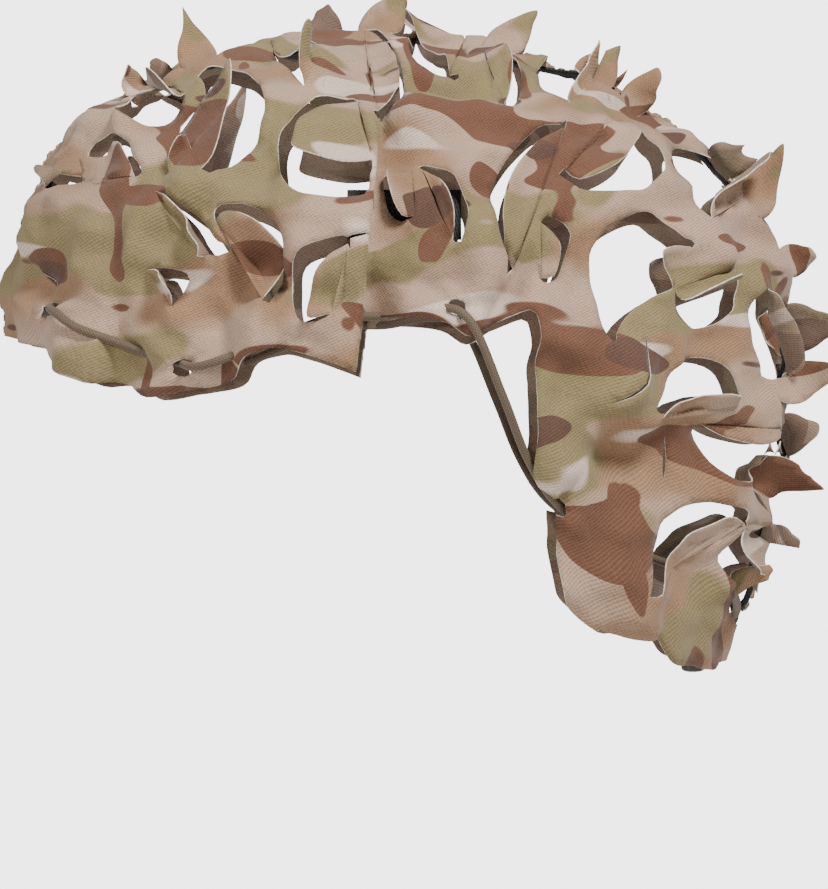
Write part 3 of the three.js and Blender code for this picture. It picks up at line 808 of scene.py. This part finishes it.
def addNoise(tree, vector, scale, detail=2.0, rough=0.5, distortion=0.0):
    node = tree.nodes.new("ShaderNodeTexNoise")
    node.inputs["Scale"].default_value = scale
    node.inputs["Detail"].default_value = detail
    node.inputs["Roughness"].default_value = rough
    node.inputs["Distortion"].default_value = distortion
    tree.links.new(vector, node.inputs["Vector"])
    return node.outputs["Fac"]


def addStep(tree, value, low, high):
    node = tree.nodes.new("ShaderNodeMapRange")
    node.interpolation_type = "SMOOTHSTEP"
    node.inputs["From Min"].default_value = low
    node.inputs["From Max"].default_value = high
    tree.links.new(value, node.inputs["Value"])
    return node.outputs[0]


def addMix(tree, share, a, b, blend="MIX"):
    node = tree.nodes.new("ShaderNodeMix")
    node.data_type = "RGBA"
    node.blend_type = blend
    for socket, value in ((node.inputs[0], share), (node.inputs[6], a), (node.inputs[7], b)):
        if isinstance(value, tuple):
            socket.default_value = (*value, 1)
        elif isinstance(value, (int, float)):
            socket.default_value = value
        else:
            tree.links.new(value, socket)
    return node.outputs[2]


def makeCamoGroup():
    # arid camouflage print: soft tan and olive fields, crisp brown bars and pale flecks
    ink = {
        "sand": (0.36, 0.245, 0.172),
        "tan": (0.25, 0.143, 0.078),
        "olive": (0.2, 0.152, 0.07),
        "brown": (0.122, 0.054, 0.03),
        "umber": (0.085, 0.043, 0.028),
        "pale": (0.52, 0.4, 0.32),
    }
    group, into, out = makeGroup("camo_print", [("Cut", "NodeSocketVector")],
                                 [("Color", "NodeSocketColor")])
    cut = into.outputs["Cut"]
    wide = addMap(group, cut, (1, 1.7, 1))
    slanted = addMap(group, cut, (0.8, 2.0, 1), (0.31, 0.12, 0), 0.5)
    steep = addMap(group, cut, (2.0, 0.9, 1), (0.7, 0.4, 0), 0.35)
    color = addMix(group, addStep(group, addNoise(group, wide, 13, 1.5), 0.45, 0.58),
                   ink["sand"], ink["tan"])
    oliveField = addNoise(group, addMap(group, wide, (1, 1, 1), (2.3, 1.1, 0)), 15, 2.0, 0.5, 0.3)
    color = addMix(group, addStep(group, oliveField, 0.515, 0.56), color, ink["olive"])
    paleField = addNoise(group, addMap(group, slanted, (1, 1, 1), (4.1, 0.6, 0)), 17, 1.0)
    color = addMix(group, addStep(group, paleField, 0.625, 0.65), color, ink["pale"])
    barField = addNoise(group, slanted, 19, 1.2, 0.4, 0.2)
    color = addMix(group, addStep(group, barField, 0.602, 0.609), color, ink["brown"])
    steepField = addNoise(group, steep, 20, 1.0, 0.4, 0.2)
    color = addMix(group, addStep(group, steepField, 0.64, 0.647), color, ink["brown"])
    spotField = addNoise(group, addMap(group, wide, (1, 1, 1), (1.7, 5.2, 0)), 26, 0.5)
    color = addMix(group, addStep(group, spotField, 0.70, 0.708), color, ink["umber"])
    group.links.new(color, out.inputs["Color"])
    return group


def makeWeaveGroup():
    # fine twill: a height for the bump, and a brightness for the threads that is partly painted shade
    # following the thread height and partly the yarn's own slub and mottle
    weave = {"pitch": 1.0 * mm, "slant": 1.05}
    group, into, out = makeGroup("twill", [("Cut", "NodeSocketVector")],
                                 [("Height", "NodeSocketFloat"), ("Shade", "NodeSocketFloat")])
    split = group.nodes.new("ShaderNodeSeparateXYZ")
    group.links.new(addMap(group, into.outputs["Cut"], (1, 1, 1), (0, 0, 0), weave["slant"]),
                    split.inputs[0])
    ribs = addMath(group, "SINE", addMath(group, "MULTIPLY", split.outputs[0], tau / weave["pitch"]))
    steps = addMath(group, "MULTIPLY", split.outputs[1], tau / weave["pitch"] * 0.8)
    threads = addMath(group, "SINE", addMath(group, "ADD", steps, addMath(group, "MULTIPLY", ribs, 0.9)))
    height = addMath(group, "MULTIPLY_ADD", ribs, 0.35, addMath(group, "MULTIPLY", threads, 0.15))
    slub = addNoise(group, addMap(group, into.outputs["Cut"], (1, 1.6, 1)), 900, 2.0)
    mottle = addNoise(group, into.outputs["Cut"], 60, 3.0)
    # painted shade: threads are lighter where the weave stands high and darker where it is low; the slub
    # and mottle added next are the yarn's own tone
    shade = addMath(group, "MULTIPLY_ADD", height, 0.5, 1.0)
    shade = addMath(group, "ADD", shade, addMath(group, "MULTIPLY_ADD", slub, 0.7, -0.35))
    shade = addMath(group, "ADD", shade, addMath(group, "MULTIPLY_ADD", mottle, 0.3, -0.15))
    group.links.new(height, out.inputs["Height"])
    group.links.new(shade, out.inputs["Shade"])
    return group


def newMaterial(name):
    look = bpy.data.materials.new(name)
    look.use_nodes = True
    tree = look.node_tree
    return look, tree, tree.nodes["Principled BSDF"]


def plainMaterial(name, color, roughness, metallic=0.0):
    look, _, shader = newMaterial(name)
    shader.inputs["Base Color"].default_value = (*color, 1)
    shader.inputs["Roughness"].default_value = roughness
    shader.inputs["Metallic"].default_value = metallic
    return look


def addGroup(tree, group, **inputs):
    node = tree.nodes.new("ShaderNodeGroup")
    node.node_tree = group
    for label, value in inputs.items():
        tree.links.new(value, node.inputs[label])
    return node


def addBump(tree, shader, height, strength, distance):
    bump = tree.nodes.new("ShaderNodeBump")
    bump.inputs["Strength"].default_value = strength
    bump.inputs["Distance"].default_value = distance
    tree.links.new(height, bump.inputs["Height"])
    tree.links.new(bump.outputs["Normal"], shader.inputs["Normal"])


def scaleColor(tree, color, value):
    node = tree.nodes.new("ShaderNodeVectorMath")
    node.operation = "SCALE"
    tree.links.new(color, node.inputs[0])
    tree.links.new(value, node.inputs["Scale"])
    return node.outputs[0]


def cutVector(tree):
    node = tree.nodes.new("ShaderNodeUVMap")
    node.uv_map = "cut"
    return node.outputs["UV"]


camoGroup = makeCamoGroup()
weaveGroup = makeWeaveGroup()


def clothMaterial(name, faded):
    # the printed face, or the back of the cloth, where the print shows through faintly
    look, tree, shader = newMaterial(name)
    cut = cutVector(tree)
    color = addGroup(tree, camoGroup, Cut=cut).outputs["Color"]
    weave = addGroup(tree, weaveGroup, Cut=cut)
    if faded:
        color = addMix(tree, 0.62, color, (0.16, 0.115, 0.085))
    # the weave's brightness multiplies the print: partly painted shade of the thread relief, partly the
    # yarn's own tone
    color = scaleColor(tree, color, weave.outputs["Shade"])
    tree.links.new(color, shader.inputs["Base Color"])
    shader.inputs["Roughness"].default_value = 0.88
    shader.inputs["Specular IOR Level"].default_value = 0.25
    shader.inputs["Sheen Weight"].default_value = 0.12
    shader.inputs["Sheen Roughness"].default_value = 0.5
    rumple = addNoise(tree, addMap(tree, cut, (1, 1, 1)), 90, 3.0)
    height = addMath(tree, "MULTIPLY_ADD", rumple, 14.0, weave.outputs["Height"])
    addBump(tree, shader, height, 0.7, 0.14 * mm)
    return look


def cordMaterial():
    # a braided sleeve: two crossing spirals of thread, painted darker in the grooves between the strands
    # as painted shade
    look, tree, shader = newMaterial("elastic_cord")
    split = tree.nodes.new("ShaderNodeSeparateXYZ")
    tree.links.new(cutVector(tree), split.inputs[0])
    around = addMath(tree, "MULTIPLY", split.outputs[0], tau * 8)
    along = addMath(tree, "MULTIPLY", split.outputs[1], tau / (1.4 * mm))
    left = addMath(tree, "SINE", addMath(tree, "ADD", around, along))
    right = addMath(tree, "SINE", addMath(tree, "SUBTRACT", around, along))
    braid = addMath(tree, "MAXIMUM", left, right)
    # painted shade: the colour darkens where the braid is low, in the grooves between the strands
    color = addMix(tree, addStep(tree, braid, 0.1, 1.0), (0.05, 0.031, 0.015), (0.125, 0.079, 0.039))
    tree.links.new(color, shader.inputs["Base Color"])
    shader.inputs["Roughness"].default_value = 0.62
    shader.inputs["Sheen Weight"].default_value = 0.15
    addBump(tree, shader, braid, 0.5, 0.18 * mm)
    return look


def tapeMaterial(name, color, rib, strength, byObject=False):
    # woven or hooked narrow tape, ribbed at the given pitch, with painted shade darkening the troughs
    # between the ribs
    look, tree, shader = newMaterial(name)
    split = tree.nodes.new("ShaderNodeSeparateXYZ")
    place = tree.nodes.new("ShaderNodeTexCoord").outputs["Object"] if byObject else cutVector(tree)
    tree.links.new(place, split.inputs[0])
    across = addMath(tree, "SINE", addMath(tree, "MULTIPLY", split.outputs[0], tau / rib))
    along = addMath(tree, "SINE", addMath(tree, "MULTIPLY", split.outputs[1], tau / rib))
    height = addMath(tree, "MULTIPLY", across, along)
    # painted shade: the rib troughs take a darker copy of the tape's colour
    dark = tuple(0.55 * c for c in color)
    tree.links.new(addMix(tree, addStep(tree, height, -0.6, 0.6), dark, color),
                   shader.inputs["Base Color"])
    shader.inputs["Roughness"].default_value = 0.85
    addBump(tree, shader, height, strength, 0.3 * mm)
    return look


def edgeMaterial():
    look, tree, shader = newMaterial("cut_edge")
    fray = addNoise(tree, cutVector(tree), 700, 2.0)
    color = addMix(tree, addStep(tree, fray, 0.35, 0.65), (0.5, 0.42, 0.34), (0.74, 0.67, 0.58))
    tree.links.new(color, shader.inputs["Base Color"])
    shader.inputs["Roughness"].default_value = 0.75
    return look


def plasticMaterial():
    look, tree, shader = newMaterial("dark_plastic")
    place = tree.nodes.new("ShaderNodeTexCoord").outputs["Object"]
    grain = addNoise(tree, place, 2600, 2.0)
    wear = addStep(tree, addNoise(tree, place, 240, 3.0), 0.55, 0.75)
    color = addMix(tree, wear, (0.026, 0.021, 0.018), (0.05, 0.042, 0.036))
    tree.links.new(color, shader.inputs["Base Color"])
    tree.links.new(addMath(tree, "MULTIPLY_ADD", wear, 0.15, 0.42), shader.inputs["Roughness"])
    addBump(tree, shader, grain, 0.25, 0.05 * mm)
    return look


camoOutside = clothMaterial("camo_cloth", False)
camoInside = clothMaterial("camo_cloth_back", True)
cutEdge = edgeMaterial()
cordLook = cordMaterial()
tapeLook = tapeMaterial("black_webbing", (0.022, 0.021, 0.02), 1.4 * mm, 0.5)
hookLook = tapeMaterial("hook_tape", (0.03, 0.027, 0.025), 1.1 * mm, 0.9, True)
threadLook = plainMaterial("sewing_thread", (0.3, 0.22, 0.13), 0.7)
plasticLook = plasticMaterial()
springLook = plainMaterial("spring_steel", (0.55, 0.55, 0.54), 0.3, 1.0)

leaves = allLeaves()
cutting = triangulate(leaves)
print("flat cut:", len(cutting[1]), "triangles")
clothLooks = (camoOutside, camoInside, cutEdge)
leftCloth = makeHalf("left_cloth", 1, cutting, leaves, clothLooks, 3)
rightCloth = makeHalf("right_cloth", -1, cutting, leaves, clothLooks, 8)


for half, side in ((leftCloth, "left"), (rightCloth, "right")):
    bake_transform(half)
    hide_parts(f"{side}_crown_panel", f"{side}_nape_drape")

# The drawcord's route: turn in degrees from the brow, 90 at the left ear, 180 at the nape; height
# in millimetres; and 1 where it shows on the outside, or how far behind the cloth it runs, as a
# negative share of "inside".
drawcord = {
    "diameter": 3.4 * mm, "sides": 12, "step": 2.2 * mm, "outside": 2.5 * mm, "inside": 2.6 * mm,
    "route": [
        (0, 7, -1), (12, 7, -1), (24, 8, -1), (31, 6, 1), (36, 0, 1), (41, -6, 1), (46, -11, -1),
        (51, -14, -1), (56, -15, 1), (61, -12, 1), (67, -6, -1), (78, 3, -1), (88, 4, -1),
        (97, 7, -1), (103, 2, 1), (109, -26, 1), (115, -52, -1), (121, -70, -1),
        (131, -84, -2.3), (142, -94, -2.9), (153, -100, -2.9), (164, -104, -2.3),
    ],
    "bends": [(9, 136.75, 0.5, 2), (2.25, 132.25, 1, 0.6)],
    "straight": [128.75, 119.5, 100.75, 97.6],
    "upper": -117.2, "lower": -121.0, "turnLevel": -110,
}


def wallPlace(turn, z, offset, side):
    # a point of the cloth's wall at a turn and height, lifted by offset
    t = math.radians(turn)
    heading = np.array([[abs(math.sin(t)) + 1e-9, -math.cos(t), 0.0]])
    p = reachOut(np.array([[0.0, 0.0, z * mm]]), heading, 1.4 * rearReach)
    length = np.linalg.norm(p)
    lift = relief(p)[0]
    lift = lift if offset > 0 else min(lift, 1.5 * mm)
    place = p[0] * (1 + (lift + offset) / length)
    return place * np.array([side, 1, 1])


def makeDrawcord():
    cord = drawcord
    half = {}
    for side in (1, -1):
        line = []
        for turn, z, where in cord["route"]:
            offset = cord["outside"] if where > 0 else where * cord["inside"]
            line.append(wallPlace(turn, z, offset, side))
        level = cord["upper"] if side > 0 else cord["lower"]
        for x, y, share, lift in cord["bends"]:
            z = level * share + cord["turnLevel"] * (1 - share) + lift
            line.append(np.array([side * x, y, z]) * mm)
        for y in cord["straight"]:
            line.append(np.array([0, y, level]) * mm)
        half[side] = line
    route = half[-1][:0:-1] + half[1]
    line = spline(np.array(route), False, cord["step"])
    points, faces, uv = sweepTube(line, cord["diameter"] / 2, cord["sides"])
    tube = newPiece("drawcord", points, faces, [cordLook], uv)
    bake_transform(tube)
    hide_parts("hem_drawcord", "left_cord_end", "right_cord_end")
    return float(np.linalg.norm(np.diff(line, axis=0), axis=1).sum())


print("drawcord:", round(makeDrawcord(), 3), "m")

knot = {"strand": 1.55 * mm, "sides": 10, "tail": 3.2 * mm}


def makeKnot():
    # the two cord ends tied together in one overhand knot, with two short singed tails
    middle = np.array((knotLow + knotHigh) / 2)
    size = np.array(knotHigh - knotLow) / 2 - knot["strand"]
    turns = np.linspace(0, tau, 90, endpoint=False)
    trefoil = np.column_stack([
        (np.sin(turns) + 2 * np.sin(2 * turns)) / 2.9,
        np.sin(3 * turns) * 0.8,
        (np.cos(turns) - 2 * np.cos(2 * turns)) / 2.9,
    ])
    points, faces, uv = sweepTube(middle + trefoil * size, knot["strand"], knot["sides"], True)
    for z in (-1, 1):
        start = middle + np.array([z * 0.8 * mm, -size[1] * 0.4, z * 1.6 * mm])
        tail = [start + np.array([0, -k * knot["tail"] / 4, z * 0.1 * mm * k]) for k in range(5)]
        more, moreFaces, moreUv = sweepTube(tail, knot["strand"], knot["sides"])
        base = len(points)
        points += more
        faces += [tuple(base + i for i in f) for f in moreFaces]
        uv += moreUv
    piece = newPiece("cord_knot", points, faces, [cordLook], uv)
    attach(piece, "drape")
    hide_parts("end_knot")


makeKnot()

middleTape = {"width": 22 * mm, "thickness": 1.1 * mm, "behind": 0.9 * mm, "step": 3.0 * mm,
              "across": 10, "from": 181.0, "to": -39.0, "stitchPitch": 3.6 * mm,
              "stitchLength": 2.5 * mm, "thread": 0.32 * mm, "rows": (5.6 * mm, 8.8 * mm)}


def middleLine(turns, x, offset):
    # places by angle over the crown, x to the side of the middle line, the two sides alike
    turns = np.radians(turns)
    d = np.stack([np.full_like(turns, 1e-6), np.cos(turns), np.sin(turns)], -1)
    base = d * surfaceRadius(d)[:, None]
    tilt = np.column_stack([np.abs(x) / np.linalg.norm(base, axis=1), d[:, 1], d[:, 2]])
    tilt = tilt / np.linalg.norm(tilt, axis=1, keepdims=True)
    p = tilt * surfaceRadius(tilt)[:, None]
    p = p * (1 + (relief(p) + offset) / np.linalg.norm(p, axis=1))[:, None]
    return p * np.column_stack([np.where(x < 0, -1, 1), np.ones(len(x)), np.ones(len(x))])


def makeTape():
    tape = middleTape
    steps = int(math.radians(tape["from"] - tape["to"]) * crownHeight / tape["step"])
    turns = np.linspace(tape["from"], tape["to"], steps)
    across = np.linspace(-0.5, 0.5, tape["across"]) * tape["width"]
    rows = [middleLine(turns, np.full(steps, x), -tape["behind"]) for x in across]
    points = np.stack(rows, 1).reshape(-1, 3)
    along = np.concatenate([[0], np.cumsum(np.linalg.norm(np.diff(rows[0], axis=0), axis=1))])
    n = tape["across"]
    faces = [(i * n + k, i * n + k + 1, (i + 1) * n + k + 1, (i + 1) * n + k)
             for i in range(steps - 1) for k in range(n - 1)]
    uv = np.array([(across[k], along[i]) for i in range(steps) for k in range(n)])
    looks = (tapeLook, tapeLook, tapeLook)
    piece = solidMesh("middle_tape", points, np.array(faces), uv, tape["thickness"], looks)
    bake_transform(piece)
    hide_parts("crown_tape", "nape_tape")


def makeStitching():
    # two rows of lock stitches on each side of the middle line, where the tape is sewn on
    tape = middleTape
    length = math.radians(tape["from"] - tape["to"]) * crownHeight
    count = int(length / tape["stitchPitch"])
    share = tape["stitchLength"] / tape["stitchPitch"]
    pitch = (tape["from"] - tape["to"]) / count
    points, faces, uv = [], [], []
    for x in tape["rows"]:
        for side in (-1, 1):
            starts = tape["from"] - pitch * (np.arange(count) + 0.2)
            runs = [middleLine(starts - pitch * share * t, np.full(count, side * x), offset)
                    for t, offset in ((0, -0.1 * mm), (0.2, 0.5 * mm), (0.8, 0.5 * mm), (1, -0.1 * mm))]
            for i in range(count):
                line = [run[i] for run in runs]
                more, moreFaces, moreUv = sweepTube(line, tape["thread"], 5)
                base = len(points)
                points += more
                faces += [tuple(base + k for k in f) for f in moreFaces]
                uv += moreUv
    piece = newPiece("middle_stitching", points, faces, [threadLook], uv)
    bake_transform(piece)


makeTape()
makeStitching()
print("tape and stitching")

lock = {"ribs": 18, "ribWidth": 0.9 * mm, "ribHeight": 0.32 * mm, "capRings": 2}
spring = {"wire": 0.9 * mm, "turns": 3, "pointsPerTurn": 20, "sides": 12, "pressedShare": 0.45}


def makeLockRibs():
    # moulded grip ribs that stand a little off the barrel, between its two cord slots and its top
    middle = (lockLow + lockHigh) / 2
    radius = (lockHigh.x - lockLow.x) / 2
    low = lockHigh.z - 1.2 * mm - 6.0 * mm
    points, faces = [], []
    for k in range(lock["ribs"]):
        turn = tau * (k + 0.5) / lock["ribs"]
        out = Vector((math.cos(turn), math.sin(turn), 0))
        beside = Vector((-math.sin(turn), math.cos(turn), 0))
        for side in (-1, 1):
            for reach, z in ((0.05 * mm, low), (lock["ribHeight"], low + 0.8 * mm),
                             (lock["ribHeight"], lockHigh.z - 1.6 * mm),
                             (0.05 * mm, lockHigh.z - 0.8 * mm)):
                width = lock["ribWidth"] / 2 * (0.6 if reach > 0.1 * mm else 1)
                p = Vector((middle.x, middle.y, z)) + out * (radius + reach) + beside * side * width
                points.append(p)
        b = k * 8
        faces += [(b, b + 4, b + 5, b + 1), (b + 1, b + 5, b + 6, b + 2), (b + 2, b + 6, b + 7, b + 3)]
        faces += [(b, b + 1, b + 2, b + 3), (b + 7, b + 6, b + 5, b + 4), (b, b + 3, b + 7, b + 4)]
    piece = newPiece("lock_ribs", points, faces, [plasticLook])
    piece.data.shade_flat()
    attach(piece, "cord_lock")


def makePlungerCap():
    # a crowned thumb cap on the plunger's free end, with rings moulded in, low enough to stay
    # outside the barrel when the plunger is pressed home
    middle = (plungerLow + plungerHigh) / 2
    radius = (plungerHigh.x - plungerLow.x) / 2
    foot = plungerLow.z
    profile = [(0, foot - 0.9 * mm), (0.45 * radius, foot - 0.8 * mm), (0.8 * radius, foot - 0.45 * mm),
               (radius + 0.15 * mm, foot + 0.5 * mm)]
    for k in range(lock["capRings"]):
        z = foot + (1.0 + 1.1 * k) * mm
        profile += [(radius + 0.3 * mm, z), (radius + 0.3 * mm, z + 0.45 * mm),
                    (radius + 0.05 * mm, z + 0.6 * mm), (radius + 0.05 * mm, z + 0.9 * mm)]
    sides = 36
    points = [Vector((middle.x, middle.y, profile[0][1]))]
    for r, z in profile[1:]:
        for k in range(sides):
            turn = tau * k / sides
            points.append(Vector((middle.x + r * math.cos(turn), middle.y + r * math.sin(turn), z)))
    faces = [(0, 1 + (k + 1) % sides, 1 + k) for k in range(sides)]
    for i in range(len(profile) - 2):
        for k in range(sides):
            a, b = 1 + i * sides + k, 1 + i * sides + (k + 1) % sides
            faces.append((a, b, b + sides, a + sides))
    piece = newPiece("plunger_cap", points, faces, [plasticLook])
    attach(piece, "plunger")


def makeSpring():
    # the steel spring above the plunger, which shortens against the barrel's closed top
    middle = (springLow + springHigh) / 2
    radius = (springHigh.x - springLow.x) / 2 - spring["wire"] / 2
    low = springLow.z + spring["wire"] / 2
    rise = springHigh.z - springLow.z - spring["wire"]
    steps = spring["turns"] * spring["pointsPerTurn"]
    line = []
    for i in range(steps + 1):
        turn = tau * i / spring["pointsPerTurn"]
        line.append((middle.x + radius * math.cos(turn), middle.y + radius * math.sin(turn),
                     low + rise * i / steps))
    points, faces, uv = sweepTube(line, spring["wire"] / 2, spring["sides"])
    piece = newPiece("lock_spring", points, faces, [springLook], uv)
    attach(piece, "cord_lock")
    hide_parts("cord_lock_spring")
    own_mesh(piece)


makeLockRibs()
makePlungerCap()
makeSpring()
for name, look in (("cord_lock_barrel", plasticLook), ("cord_lock_plunger", plasticLook),
                   ("brow_hook_patch", hookLook),
                   ("left_hook_patch", hookLook), ("right_hook_patch", hookLook),
                   ("rear_hook_patch", hookLook)):
    node = bpy.data.objects[name]
    node.data.materials.clear()
    node.data.materials.append(look)
print("lock, knot and hook patches")

studio = {
    "sky": 0.26, "backdrop": 4.0, "floorLevel": -0.32, "floorRadius": 1.2,
    "lights": [("key", (1.5, 1.0, 1.9), 0.6, 110), ("fill", (1.3, -1.7, 0.9), 0.7, 34)],
}


def makeStudio():
    # soft light all round, a key light high in front, and a pale floor below
    world = bpy.context.scene.world or bpy.data.worlds.new("world")
    bpy.context.scene.world = world
    world.use_nodes = True
    tree = world.node_tree
    sky = tree.nodes["Background"]
    sky.inputs["Color"].default_value = (1, 1, 1, 1)
    path = tree.nodes.new("ShaderNodeLightPath")
    strength = addMath(tree, "MULTIPLY_ADD", path.outputs["Is Camera Ray"],
                       studio["backdrop"] - studio["sky"], studio["sky"])
    tree.links.new(strength, sky.inputs["Strength"])
    for name, place, size, power in studio["lights"]:
        data = bpy.data.lights.new(name, "AREA")
        data.size = size
        data.energy = power
        light = bpy.data.objects.new(name, data)
        light.location = place
        light.rotation_euler = (-Vector(place)).to_track_quat("-Z", "Y").to_euler()
        bpy.context.scene.collection.objects.link(light)
    turns = np.linspace(0, tau, 64, endpoint=False)
    rim = [(studio["floorRadius"] * math.cos(t), studio["floorRadius"] * math.sin(t),
            studio["floorLevel"]) for t in turns]
    floor = newPiece("floor", rim, [tuple(range(64))],
                     [plainMaterial("pale_floor", (0.82, 0.82, 0.81), 0.8)])


makeStudio()
print("studio")
